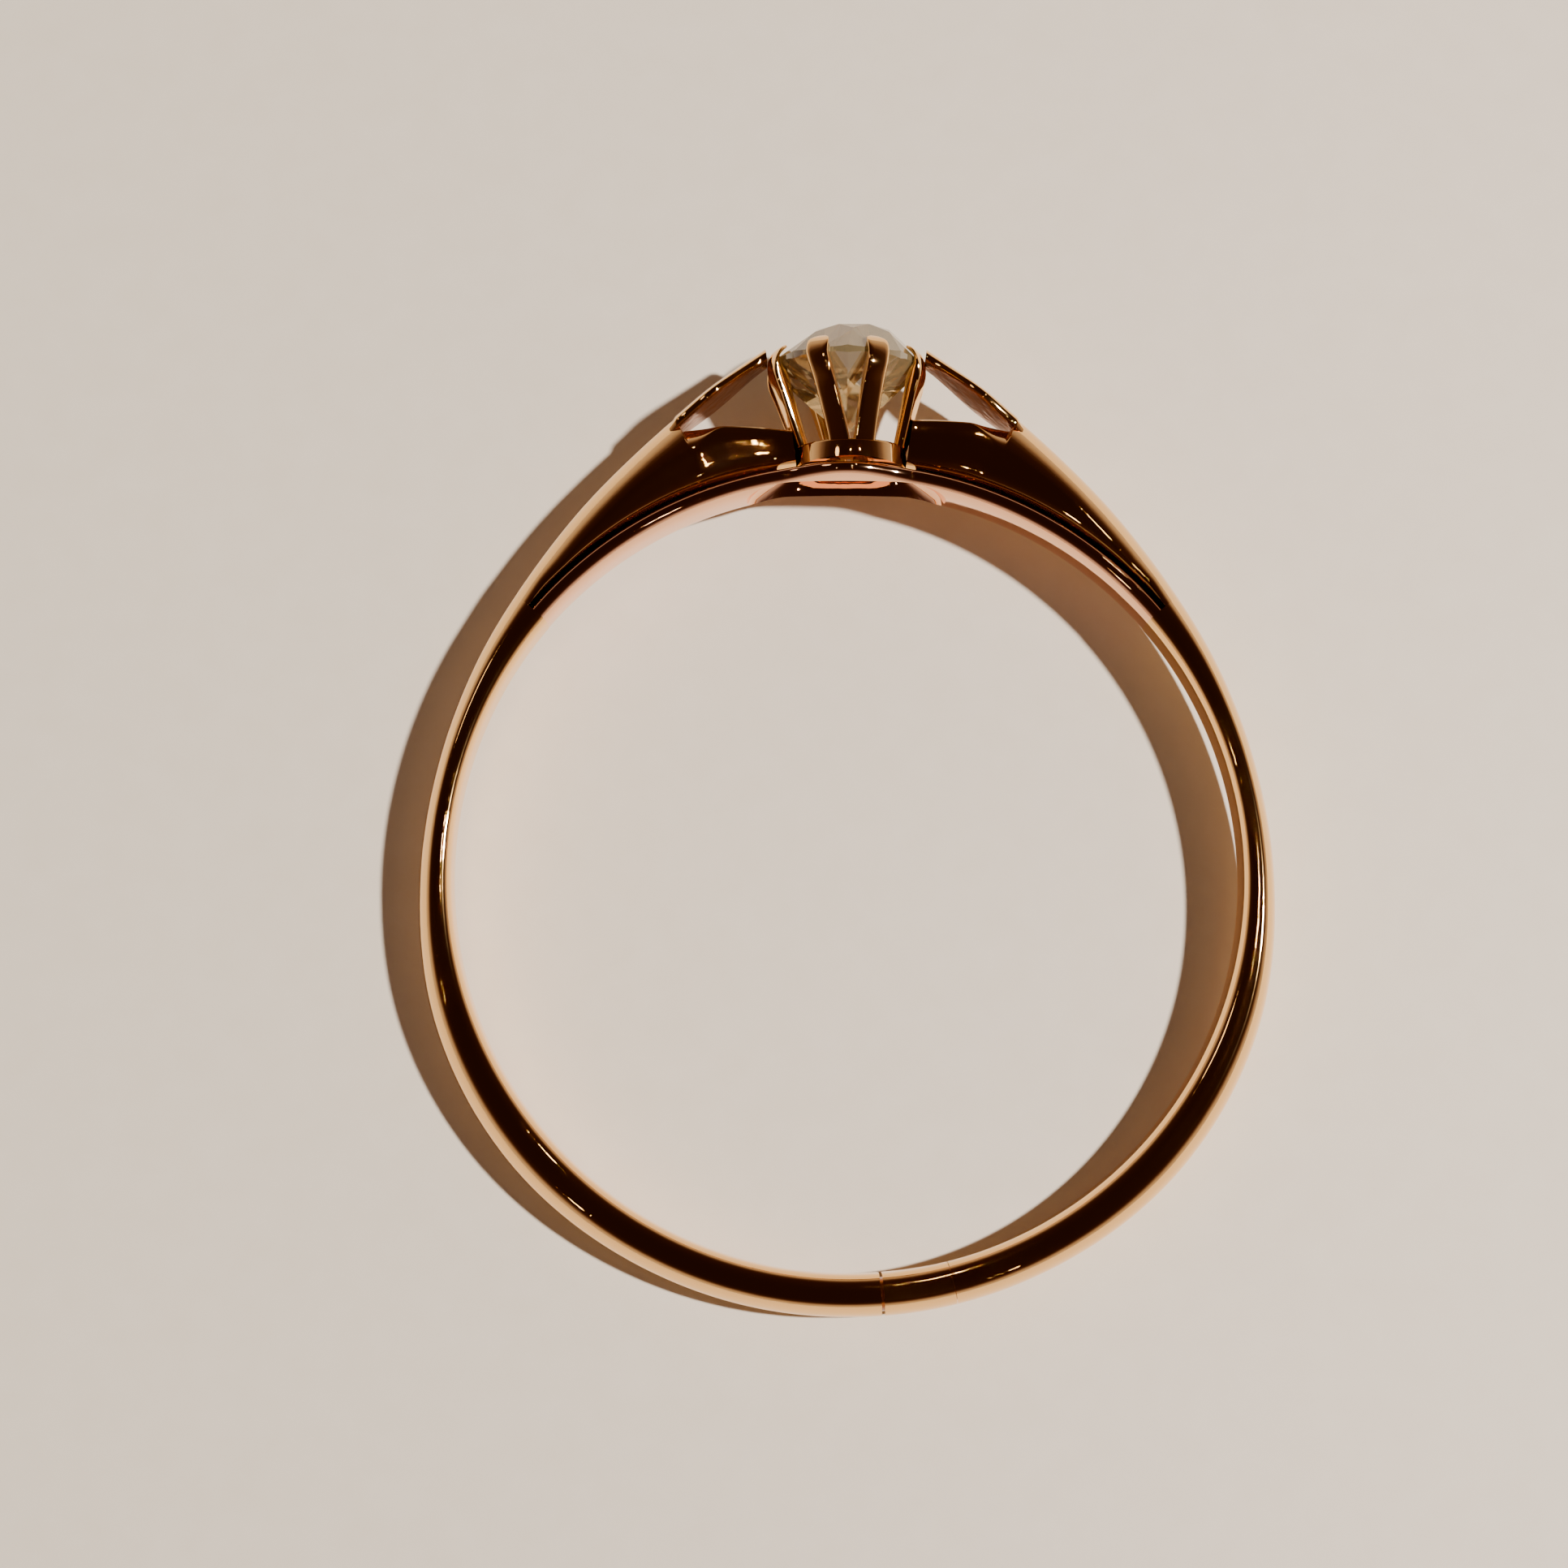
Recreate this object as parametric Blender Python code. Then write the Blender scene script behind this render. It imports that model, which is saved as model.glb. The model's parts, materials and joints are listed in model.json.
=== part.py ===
"""Solitaire engagement ring, lying on its side as it lies on a table.

The ring is drawn upright in its own plane: the finger axis is Z, the head points to +Y and angles
run clockwise from the head, so a positive angle is on the right. One empty then carries all the
pieces and tips them on to the tabletop, z = 0, with the origin under the middle of the ring.
"""

import math

import bmesh
import bpy
import numpy as np
from mathutils import Matrix, Vector

MM = 0.001

# Joints: two pieces that are soldered together stay this far apart.
SOLDER_GAP = 0.02 * MM

# Finger hole and shank
HOLE_DIAMETER = 17.2 * MM
SHANK_WIDTH = 1.4 * MM
FINGER_BEVEL = 0.12 * MM
SEAM_ANGLES = (165.8, 175.5)
FORK_ANGLE = 50.0

# Down the shank from the head: angle, height of the crest and of the flat side above the finger.
SHANK_STATIONS = (
    (8.5, 3.34, 1.80),
    (14.0, 2.80, 1.60),
    (20.7, 2.28, 1.35),
    (27.6, 1.84, 1.10),
    (36.0, 1.44, 0.80),
    (45.0, 1.11, 0.58),
    (60.0, 0.82, 0.45),
    (75.0, 0.70, 0.42),
    (90.0, 0.74, 0.45),
    (110.0, 0.94, 0.57),
    (130.0, 1.02, 0.62),
    (155.0, 0.96, 0.62),
    (180.0, 0.92, 0.62),
)

# Finger rail, which closes the hole under the head
RAIL_THICKNESS = 0.48 * MM
RAIL_WIDTH = 1.65 * MM
RAIL_WIDTH_UNDER_HEAD = 2.3 * MM
RAIL_ROUNDING = 0.12 * MM
RAIL_BEVEL = 0.18 * MM
RAIL_SWELL_REACH = 1.5 * MM
LIGHT_SLOT_LENGTH = 4.1 * MM
LIGHT_SLOT_LENGTH_AT_TOP = 2.9 * MM
LIGHT_SLOT_WIDTH = 1.4 * MM
LIGHT_SLOT_CORNER = 0.45 * MM
LIGHT_SLOT_DEPTH_OUTSIDE = 0.4 * MM

# Shoulders: the solid lower arm and the thin bridge over the window
SHOULDER_WIDTH = 1.5 * MM
ARM_WIDTH = 1.2 * MM
ARM_HEIGHTS = {"left": 0.88 * MM, "right": 1.12 * MM}
ARM_CROWN = 0.12 * MM
ARM_CLEARANCE = 0.12 * MM
ARM_CROWN_REACH = 0.4
CHEEK_HOLLOW = 0.06 * MM
WINDOW_ANGLE = 20.5
BRIDGE_THICKNESS_AT_FORK = 0.32 * MM
BRIDGE_THICKNESS_AT_TIP = 0.34 * MM
BRIDGE_WIDTH = 1.6 * MM
BRIDGE_TIP_GAP = 0.04 * MM
BRIDGE_TIP_PAST_STONE = 0.10 * MM
BRIDGE_WAIST = 0.88
BRIDGE_TAPER_FROM = 0.4
BRIDGE_EDGE = 0.5
ARM_WAIST_HEIGHT = 0.45
WINDOW_STEP = 0.3
LEAST_WALL = 0.1 * MM

# Stone
GIRDLE_DIAMETER = 3.3 * MM
TABLE_DIAMETER = 1.70 * MM
TABLE_OFFSET = 0.16 * MM
CULET_DIAMETER = 0.26 * MM
CROWN_HEIGHT = 0.74 * MM
GIRDLE_THICKNESS = 0.11 * MM
PAVILION_DEPTH = 1.36 * MM
TABLE_ABOVE_FINGER = 3.56 * MM
STAR_REACH = 0.45
LOWER_HALF_REACH = 0.62

# Coronet: a base ring with eight claws, which lean together in pairs like the letter V
CLAW_COUNT = 8
CLAW_TOP_WIDTH = 0.54 * MM
CLAW_FOOT_WIDTH = 0.50 * MM
CLAW_FOOT_ANGLE = 13.6
CLAW_THICKNESS = 0.28 * MM
CLAW_WALL_AT_GIRDLE = 0.15 * MM
CLAW_HOLD = 0.20 * MM
CLAW_SEAT_DROP = 0.18 * MM
CLAW_WAIST_DROP = 0.73 * MM
CLAW_BACK_RISE = 0.22 * MM
CLAW_TIP_HEIGHT = 0.13 * MM
CLAW_TIP_LENGTH = 0.10 * MM
CLAW_CORNER = 0.08 * MM
CLAW_INNER_SHARE = 0.78
CORONET_FOOT_RADIUS = 1.25 * MM
CORONET_BASE_WALL = 0.38 * MM
CORONET_BASE_HEIGHT = 0.40 * MM
CORONET_BASE_BEVEL = 0.05 * MM
CORONET_LEAN = 0.10 * MM

# Fineness of the facets
STEP_ANGLE = 3.6
DOME_STEPS = 8

HOLE_RADIUS = HOLE_DIAMETER / 2
RAIL_RADIUS = HOLE_RADIUS + RAIL_THICKNESS
GIRDLE_RADIUS = GIRDLE_DIAMETER / 2
TABLE_HEIGHT = HOLE_RADIUS + TABLE_ABOVE_FINGER
GIRDLE_TOP = TABLE_HEIGHT - CROWN_HEIGHT
GIRDLE_BOTTOM = GIRDLE_TOP - GIRDLE_THICKNESS
CORONET_BASE_TOP = RAIL_RADIUS + SOLDER_GAP + CORONET_BASE_HEIGHT

# The tip of a bridge fits between the two claws beside it.
HALF_CLAW_ANGLE = math.pi / CLAW_COUNT
CLAW_SIDE = (GIRDLE_RADIUS + CLAW_WALL_AT_GIRDLE) * math.sin(HALF_CLAW_ANGLE)
BRIDGE_TIP_WIDTH = 2 * (CLAW_SIDE - BRIDGE_TIP_GAP) - CLAW_TOP_WIDTH * math.cos(HALF_CLAW_ANGLE)

GOLD = (1.0, 0.78, 0.50)
ROSE_GOLD = (1.0, 0.72, 0.50)


def through(x, stations, column):
    """Value of a station column at x, on a smooth curve through the stations."""
    xs = np.array([row[0] for row in stations])
    ys = np.array([row[column] for row in stations])
    slopes = np.gradient(ys, xs)
    x = min(max(x, xs[0]), xs[-1])
    i = min(int(np.searchsorted(xs, x, side="right")) - 1, len(xs) - 2)
    span = xs[i + 1] - xs[i]
    u = (x - xs[i]) / span
    start = (1 + 2 * u) * (1 - u) ** 2 * ys[i] + u * (1 - u) ** 2 * span * slopes[i]
    end = u * u * (3 - 2 * u) * ys[i + 1] + u * u * (u - 1) * span * slopes[i + 1]
    return float(start + end)


def blend(start, end, share):
    """From start to end as share goes from 0 to 1, level at both ends."""
    share = min(max(share, 0.0), 1.0)
    return start + (end - start) * share * share * (3 - 2 * share)


def from_head(angle):
    """Angle from the head, whichever side it is on."""
    angle = abs(angle) % 360
    return min(angle, 360 - angle)


def crest_radius(angle):
    """Outermost radius of the shank and shoulders at an angle from the head."""
    return HOLE_RADIUS + through(from_head(angle), SHANK_STATIONS, 1) * MM


def wall_radius(angle):
    """Radius at which the flat side turns into the dome."""
    return HOLE_RADIUS + through(from_head(angle), SHANK_STATIONS, 2) * MM


def at(angle, radius, z):
    """Point of the ring at an angle from the head, a radius and a place along the finger."""
    turn = math.radians(angle)
    return Vector((radius * math.sin(turn), radius * math.cos(turn), z))


def angles_between(first, last):
    steps = max(2, math.ceil(abs(last - first) / STEP_ANGLE))
    return [first + (last - first) * i / steps for i in range(steps + 1)]


def gap_angle(radius=HOLE_RADIUS):
    """Angle that one solder gap takes up at a radius."""
    return math.degrees(SOLDER_GAP / radius)


def dome(base, top, half_width):
    """Half-ellipse from one side of a section over its top to the other, ends left out."""
    turns = [math.pi * i / DOME_STEPS for i in range(1, DOME_STEPS)]
    return [(base + (top - base) * math.sin(t), half_width * math.cos(t)) for t in turns]


def shank_section(angle):
    """Outline of the D-section: finger side, small bevels, flat sides and a domed outside."""
    half = SHANK_WIDTH / 2
    wall = wall_radius(angle)
    bevel = HOLE_RADIUS + FINGER_BEVEL
    lower = [(HOLE_RADIUS, -half + FINGER_BEVEL), (HOLE_RADIUS, half - FINGER_BEVEL)]
    sides = [(bevel, half), (wall, half)]
    return lower + sides + dome(wall, crest_radius(angle), half) + [(r, -z) for r, z in sides[::-1]]


def rail_width(angle):
    """The rail widens from the shank to the head and swells again where the coronet stands."""
    share = 1 - from_head(angle) / FORK_ANGLE
    width = SHANK_WIDTH + (RAIL_WIDTH - SHANK_WIDTH) * share
    across = HOLE_RADIUS * math.sin(math.radians(from_head(angle)))
    return blend(RAIL_WIDTH_UNDER_HEAD, width, across / RAIL_SWELL_REACH)


def rail_section(angle):
    half = rail_width(angle) / 2
    sides = [
        (HOLE_RADIUS, half - RAIL_BEVEL),
        (HOLE_RADIUS + RAIL_BEVEL, half),
        (RAIL_RADIUS - RAIL_ROUNDING, half),
        (RAIL_RADIUS - 0.3 * RAIL_ROUNDING, half - 0.3 * RAIL_ROUNDING),
        (RAIL_RADIUS, half - RAIL_ROUNDING),
    ]
    return sides + [(r, -z) for r, z in sides[::-1]]


def arm_section(bottom, wall, top, half_width, hollow):
    """Outline of a shoulder: narrow waist between the rail and a domed top."""
    waist = half_width - hollow
    sides = [
        (bottom, half_width - 0.5 * hollow),
        (bottom + (wall - bottom) * ARM_WAIST_HEIGHT, waist),
        (wall, half_width),
    ]
    return sides + dome(wall, top, half_width) + [(r, -z) for r, z in sides[::-1]]


def lower_arm_sections(side, height):
    """Sections of one lower arm, from the fork up to the window and on under it to the coronet."""
    bottom = RAIL_RADIUS + SOLDER_GAP
    first = FORK_ANGLE - gap_angle()
    reach = CORONET_FOOT_RADIUS + side * CORONET_LEAN + ARM_CLEARANCE
    last = math.degrees(math.asin(reach / bottom))
    sections = []
    for angle in angles_between(first, WINDOW_ANGLE):
        share = (first - angle) / (first - WINDOW_ANGLE)
        half = blend(SHANK_WIDTH, SHOULDER_WIDTH, share) / 2
        wall = max(wall_radius(angle), bottom + LEAST_WALL)
        outline = arm_section(bottom, wall, crest_radius(angle), half, CHEEK_HOLLOW * share)
        sections.append([at(side * angle, r, z) for r, z in outline])
    window_floor = crest_radius(WINDOW_ANGLE) - BRIDGE_THICKNESS_AT_FORK
    crown_at_window = window_floor - wall_radius(WINDOW_ANGLE)
    for angle in angles_between(WINDOW_ANGLE - WINDOW_STEP, last):
        share = (WINDOW_ANGLE - angle) / (WINDOW_ANGLE - last)
        half = blend(SHOULDER_WIDTH, ARM_WIDTH, share) / 2
        top = window_floor + (RAIL_RADIUS + height - window_floor) * share
        wall = top - blend(crown_at_window, ARM_CROWN, share / ARM_CROWN_REACH)
        outline = arm_section(bottom, wall, top, half, CHEEK_HOLLOW)
        sections.append([at(side * angle, r, z) for r, z in outline])
    return sections


def bridge_sections(side):
    """Sections of one bridge, from the step of the lower arm up to the edge of the stone."""
    first = WINDOW_ANGLE - gap_angle()
    last = math.degrees(math.atan((GIRDLE_RADIUS + BRIDGE_TIP_PAST_STONE) / GIRDLE_TOP))
    sections = []
    for angle in angles_between(first, last):
        share = (first - angle) / (first - last)
        top = crest_radius(angle)
        thick = BRIDGE_THICKNESS_AT_FORK + share * (BRIDGE_THICKNESS_AT_TIP - BRIDGE_THICKNESS_AT_FORK)
        width = blend(BRIDGE_WAIST * SHOULDER_WIDTH, BRIDGE_WIDTH, share / BRIDGE_TAPER_FROM)
        narrowing = (share - BRIDGE_TAPER_FROM) / (1 - BRIDGE_TAPER_FROM)
        half = blend(width, BRIDGE_TIP_WIDTH, narrowing) / 2
        under = top - thick
        edge = under + BRIDGE_EDGE * thick
        outline = [(under, -half), (under, half), (edge, half)]
        outline += dome(edge, top, half) + [(edge, -half)]
        sections.append([at(side * angle, r, z) for r, z in outline])
    return sections


def claw_profile():
    """Inner and outer points of a claw in its own radial plane, from its foot to its tip."""
    foot = CORONET_BASE_TOP + SOLDER_GAP
    clear = 1.5 * SOLDER_GAP
    crown_slope = CROWN_HEIGHT / (GIRDLE_RADIUS - TABLE_DIAMETER / 2)
    pavilion_slope = PAVILION_DEPTH / (GIRDLE_RADIUS - CULET_DIAMETER / 2)
    inside = GIRDLE_RADIUS + clear
    outside = inside + CLAW_WALL_AT_GIRDLE
    seat = inside - CLAW_SEAT_DROP / pavilion_slope + clear
    lean = (outside - CORONET_FOOT_RADIUS) / (GIRDLE_BOTTOM - CLAW_SEAT_DROP - foot)
    waist = lean * (CLAW_WAIST_DROP - CLAW_SEAT_DROP)
    tip = GIRDLE_RADIUS - CLAW_HOLD
    over_crown = GIRDLE_TOP + clear * 1.5
    tip_height = over_crown + CLAW_HOLD * crown_slope
    inner = [
        (CORONET_FOOT_RADIUS - CLAW_THICKNESS, foot),
        (seat - waist, GIRDLE_BOTTOM - CLAW_WAIST_DROP),
        (seat, GIRDLE_BOTTOM - CLAW_SEAT_DROP),
        (inside, GIRDLE_BOTTOM),
        (inside, GIRDLE_TOP),
        (inside - CLAW_HOLD / 2, over_crown + CLAW_HOLD / 2 * crown_slope),
        (tip, tip_height),
    ]
    outer = [
        (CORONET_FOOT_RADIUS, foot),
        (outside - waist, GIRDLE_BOTTOM - CLAW_WAIST_DROP),
        (outside, GIRDLE_BOTTOM - CLAW_SEAT_DROP),
        (outside, GIRDLE_BOTTOM),
        (outside, GIRDLE_TOP),
        (outside - CLAW_WALL_AT_GIRDLE / 2, GIRDLE_TOP + CLAW_BACK_RISE),
        (tip + CLAW_TIP_LENGTH, tip_height + CLAW_TIP_HEIGHT),
    ]
    return list(zip(inner, outer))


def claw_sections(pair, side):
    """Sections of the claw on one side of a pair, whose middle is at an azimuth round the stone."""
    profile = claw_profile()
    foot, top = profile[0][0][1], profile[-1][0][1]
    sections = []
    for inner, outer in profile:
        share = (outer[1] - foot) / (top - foot)
        half = blend(CLAW_FOOT_WIDTH, CLAW_TOP_WIDTH, share) / 2
        corner = min(CLAW_CORNER, half / 3)
        across = Vector((outer[0] - inner[0], outer[1] - inner[1]))
        inset = across.normalized() * corner
        edge = (outer[0] - inset.x, outer[1] - inset.y)
        outline = [
            (*inner, half * CLAW_INNER_SHARE),
            (*edge, half),
            (*outer, half - corner),
            (*outer, corner - half),
            (*edge, -half),
            (*inner, -half * CLAW_INNER_SHARE),
        ]
        sections.append([placed(Vector(point), pair, side, foot) for point in outline])
    return sections


def placed(point, pair, side, foot):
    """Turns a point of a claw to its place round the stone, and leans the coronet's foot a little."""
    share = max(0.0, (GIRDLE_BOTTOM - point.y) / (GIRDLE_BOTTOM - foot))
    from_middle = math.degrees(HALF_CLAW_ANGLE)
    from_middle += (CLAW_FOOT_ANGLE - from_middle) * share
    turned = Matrix.Rotation(math.radians(pair + side * from_middle), 3, "Y") @ point
    return Vector((turned.x + CORONET_LEAN * share, turned.y, turned.z))


def loft(name, sections):
    """Closed solid through a row of sections that have the same number of points."""
    bm = bmesh.new()
    rings = [[bm.verts.new(point) for point in section] for section in sections]
    count = len(rings[0])
    for first, second in zip(rings, rings[1:]):
        for i in range(count):
            j = (i + 1) % count
            bm.faces.new((first[i], first[j], second[j], second[i]))
    bm.faces.new(rings[0][::-1])
    bm.faces.new(rings[-1])
    return finished(name, bm)


def finished(name, bm):
    """Object made from a bmesh, with its faces turned outwards and its round sides shaded smooth."""
    bmesh.ops.recalc_face_normals(bm, faces=bm.faces)
    mesh = bpy.data.meshes.new(name)
    bm.to_mesh(mesh)
    bm.free()
    mesh.shade_smooth()
    mesh.set_sharp_from_angle(angle=math.radians(35))
    obj = bpy.data.objects.new(name, mesh)
    bpy.context.scene.collection.objects.link(obj)
    return obj


def cutter(obj):
    obj.hide_render = True
    obj.display_type = "WIRE"
    return obj


def cut(target, tool):
    boolean = target.modifiers.new("cut by " + tool.name, "BOOLEAN")
    boolean.operation = "DIFFERENCE"
    boolean.object = tool


def light_slot():
    """Upright prism with rounded corners that opens the rail, longer at the finger than on top."""
    bm = bmesh.new()
    outline = []
    for corner in range(4):
        along = (1, 1, -1, -1)[corner] * (LIGHT_SLOT_LENGTH / 2 - LIGHT_SLOT_CORNER)
        across = (1, -1, -1, 1)[corner] * (LIGHT_SLOT_WIDTH / 2 - LIGHT_SLOT_CORNER)
        for i in range(4):
            turn = math.radians(-90 * corner + 90 - 30 * i)
            x = along + LIGHT_SLOT_CORNER * math.cos(turn)
            z = across + LIGHT_SLOT_CORNER * math.sin(turn)
            outline.append(bm.verts.new((x, HOLE_RADIUS - LIGHT_SLOT_DEPTH_OUTSIDE, z)))
    face = bm.faces.new(outline)
    grown = bmesh.ops.extrude_face_region(bm, geom=[face])
    moved = [item for item in grown["geom"] if isinstance(item, bmesh.types.BMVert)]
    bmesh.ops.translate(bm, verts=moved, vec=(0, RAIL_THICKNESS + 2 * LIGHT_SLOT_DEPTH_OUTSIDE, 0))
    shorter = LIGHT_SLOT_LENGTH_AT_TOP / LIGHT_SLOT_LENGTH
    bmesh.ops.scale(bm, verts=moved, vec=(shorter, 1, 1))
    return cutter(finished("light_slot_cutter", bm))


def rail_seat():
    """Cylinder along the finger that hollows the coronet's foot to the curve of the rail."""
    bm = bmesh.new()
    bmesh.ops.create_cone(
        bm,
        cap_ends=True,
        segments=240,
        radius1=RAIL_RADIUS + SOLDER_GAP,
        radius2=RAIL_RADIUS + SOLDER_GAP,
        depth=4 * CORONET_FOOT_RADIUS,
    )
    return cutter(finished("rail_seat_cutter", bm))


def coronet_base():
    """Short tube under the claws, with its lower edge seated on the rail."""
    bm = bmesh.new()
    inner = CORONET_FOOT_RADIUS - CORONET_BASE_WALL
    profile = [
        (inner, HOLE_RADIUS),
        (CORONET_FOOT_RADIUS, HOLE_RADIUS),
        (CORONET_FOOT_RADIUS, CORONET_BASE_TOP - CORONET_BASE_BEVEL),
        (CORONET_FOOT_RADIUS - CORONET_BASE_BEVEL, CORONET_BASE_TOP),
        (inner + CORONET_BASE_BEVEL, CORONET_BASE_TOP),
        (inner, CORONET_BASE_TOP - CORONET_BASE_BEVEL),
    ]
    verts = [bm.verts.new((reach, height, 0)) for reach, height in profile]
    edges = [bm.edges.new((a, b)) for a, b in zip(verts, verts[1:] + verts[:1])]
    bmesh.ops.spin(
        bm,
        geom=verts + edges,
        axis=(0, 1, 0),
        cent=(0, 0, 0),
        angle=math.radians(360),
        steps=32,
        use_merge=True,
    )
    bmesh.ops.translate(bm, verts=bm.verts, vec=(CORONET_LEAN, 0, 0))
    return finished("coronet_base", bm)


def diamond():
    """Old-cut brilliant: eight-sided table and culet, stars, kites and halves on a round girdle."""
    bm = bmesh.new()
    eighth = 45.0
    half_cos = math.cos(math.radians(eighth / 2))
    table = TABLE_DIAMETER / 2
    culet = CULET_DIAMETER / 2

    def ring(radius, height, turned):
        aside = TABLE_OFFSET * max(0.0, height - GIRDLE_TOP) / CROWN_HEIGHT
        points = []
        for k in range(8):
            turn = math.radians(eighth * (k + (1.0 if turned else 0.5)))
            x, z = radius * math.cos(turn), radius * math.sin(turn)
            points.append(bm.verts.new((x + aside, height, z)))
        return points

    star = table / half_cos + STAR_REACH * (GIRDLE_RADIUS - table / half_cos)
    star_rise = CROWN_HEIGHT * (GIRDLE_RADIUS - star * half_cos) / (GIRDLE_RADIUS - table)
    deep = GIRDLE_RADIUS - LOWER_HALF_REACH * (GIRDLE_RADIUS - culet)
    deep_drop = PAVILION_DEPTH * (GIRDLE_RADIUS - deep * half_cos) / (GIRDLE_RADIUS - culet)
    top = ring(table, TABLE_HEIGHT, False)
    stars = ring(star, GIRDLE_TOP + star_rise, True)
    upper, upper_mid = ring(GIRDLE_RADIUS, GIRDLE_TOP, False), ring(GIRDLE_RADIUS, GIRDLE_TOP, True)
    lower, lower_mid = (
        ring(GIRDLE_RADIUS, GIRDLE_BOTTOM, False),
        ring(GIRDLE_RADIUS, GIRDLE_BOTTOM, True),
    )
    halves = ring(deep, GIRDLE_BOTTOM - deep_drop, True)
    point = ring(culet / half_cos, GIRDLE_BOTTOM - PAVILION_DEPTH, True)
    bm.faces.new(top)
    bm.faces.new(point)
    for k in range(8):
        n = (k + 1) % 8
        p = (k - 1) % 8
        bm.faces.new((top[k], top[n], stars[k]))
        bm.faces.new((top[k], stars[k], upper[k], stars[p]))
        bm.faces.new((stars[k], upper_mid[k], upper[k]))
        bm.faces.new((stars[k], upper[n], upper_mid[k]))
        bm.faces.new((upper[k], upper_mid[k], lower_mid[k], lower[k]))
        bm.faces.new((upper_mid[k], upper[n], lower[n], lower_mid[k]))
        bm.faces.new((lower[k], lower_mid[k], halves[k]))
        bm.faces.new((lower_mid[k], lower[n], halves[k]))
        bm.faces.new((lower[k], halves[k], point[k], point[p], halves[p]))
    stone = finished("diamond", bm)
    stone.data.shade_flat()
    return stone


def material(name, colour, roughness, metallic):
    made = bpy.data.materials.new(name)
    made.use_nodes = True
    shader = made.node_tree.nodes["Principled BSDF"]
    shader.inputs["Base Color"].default_value = (*colour, 1.0)
    shader.inputs["Roughness"].default_value = roughness
    shader.inputs["Metallic"].default_value = metallic
    return made


def dress(obj, colour, roughness, metallic=1.0):
    obj.data.materials.append(material(obj.name, colour, roughness, metallic))


def make_shank():
    seam_right, seam_left = SEAM_ANGLES
    gap = gap_angle() / 2
    runs = {
        "shank_right": (FORK_ANGLE + gap, seam_right - gap),
        "sizing_insert": (seam_right + gap, seam_left - gap),
        "shank_left": (seam_left + gap, 360 - FORK_ANGLE - gap),
    }
    pieces = []
    for name, (first, last) in runs.items():
        sections = []
        for angle in angles_between(first, last):
            sections.append([at(angle, r, z) for r, z in shank_section(angle)])
        pieces.append(loft(name, sections))
    return pieces


def make_rail():
    gap = gap_angle() / 2
    reach = FORK_ANGLE - gap
    sections = []
    for angle in angles_between(-reach, reach):
        sections.append([at(angle, r, z) for r, z in rail_section(angle)])
    rail = loft("finger_rail", sections)
    cut(rail, light_slot())
    return rail


def make_shoulders():
    pieces = []
    for name, side in (("left", -1), ("right", 1)):
        sections = lower_arm_sections(side, ARM_HEIGHTS[name])
        pieces.append(loft("lower_arm_" + name, sections))
        pieces.append(loft("shoulder_bridge_" + name, bridge_sections(side)))
    return pieces


def make_coronet():
    base = coronet_base()
    cut(base, rail_seat())
    pieces = [base]
    for i in range(CLAW_COUNT):
        pair = 720 / CLAW_COUNT * ((i + 1) // 2)
        side = 1 if i % 2 == 0 else -1
        pieces.append(loft(f"claw_{i + 1}", claw_sections(pair, side)))
    return pieces


def lying_tilt(pieces):
    """Turn about X, in radians, at which the head and the back of the shank touch one surface."""
    points = np.array([v.co for piece in pieces for v in piece.data.vertices])
    head, back = points[points[:, 1] > 0], points[points[:, 1] < 0]
    low, high = -0.5, 0.5
    for _ in range(50):
        turn = (low + high) / 2
        drop = [side[:, 1] * math.sin(turn) + side[:, 2] * math.cos(turn) for side in (head, back)]
        if drop[0].min() > drop[1].min():
            high = turn
        else:
            low = turn
    return turn


def lay_down(pieces):
    """Carries every piece on one empty that lays the ring on z = 0, centred over the origin."""
    turn = Matrix.Rotation(lying_tilt(pieces), 4, "X")
    points = np.array([turn @ v.co for piece in pieces for v in piece.data.vertices])
    low, high = points.min(axis=0), points.max(axis=0)
    carrier = bpy.data.objects.new("ring_lying_on_its_side", None)
    bpy.context.scene.collection.objects.link(carrier)
    carrier.rotation_euler = turn.to_euler()
    carrier.location = (-(low[0] + high[0]) / 2, -(low[1] + high[1]) / 2, -low[2])
    for obj in bpy.context.scene.collection.objects:
        if obj.type == "MESH":
            obj.parent = carrier


def main():
    for obj in list(bpy.data.objects):
        bpy.data.objects.remove(obj, do_unlink=True)
    shank = make_shank()
    rail = make_rail()
    shoulders = make_shoulders()
    coronet = make_coronet()
    stone = diamond()
    for piece in shank + shoulders + coronet:
        dress(piece, GOLD, 0.16)
    dress(rail, ROSE_GOLD, 0.16)
    dress(stone, (0.95, 0.94, 0.90), 0.02, metallic=0.0)
    lay_down(shank + [rail] + shoulders + coronet + [stone])


main()
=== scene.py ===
"""Looks of a solitaire engagement ring that lies on its side on a pale table.

Every piece is drawn in the ring's own plane, in millimetres: the finger axis is Z, the stone is
towards +Y, and angles run clockwise from the stone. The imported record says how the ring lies, and
one matrix carries each finished piece to the table.
"""

import json
import math

import bmesh
import bpy
import numpy as np
from mathutils import Matrix, Vector

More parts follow.
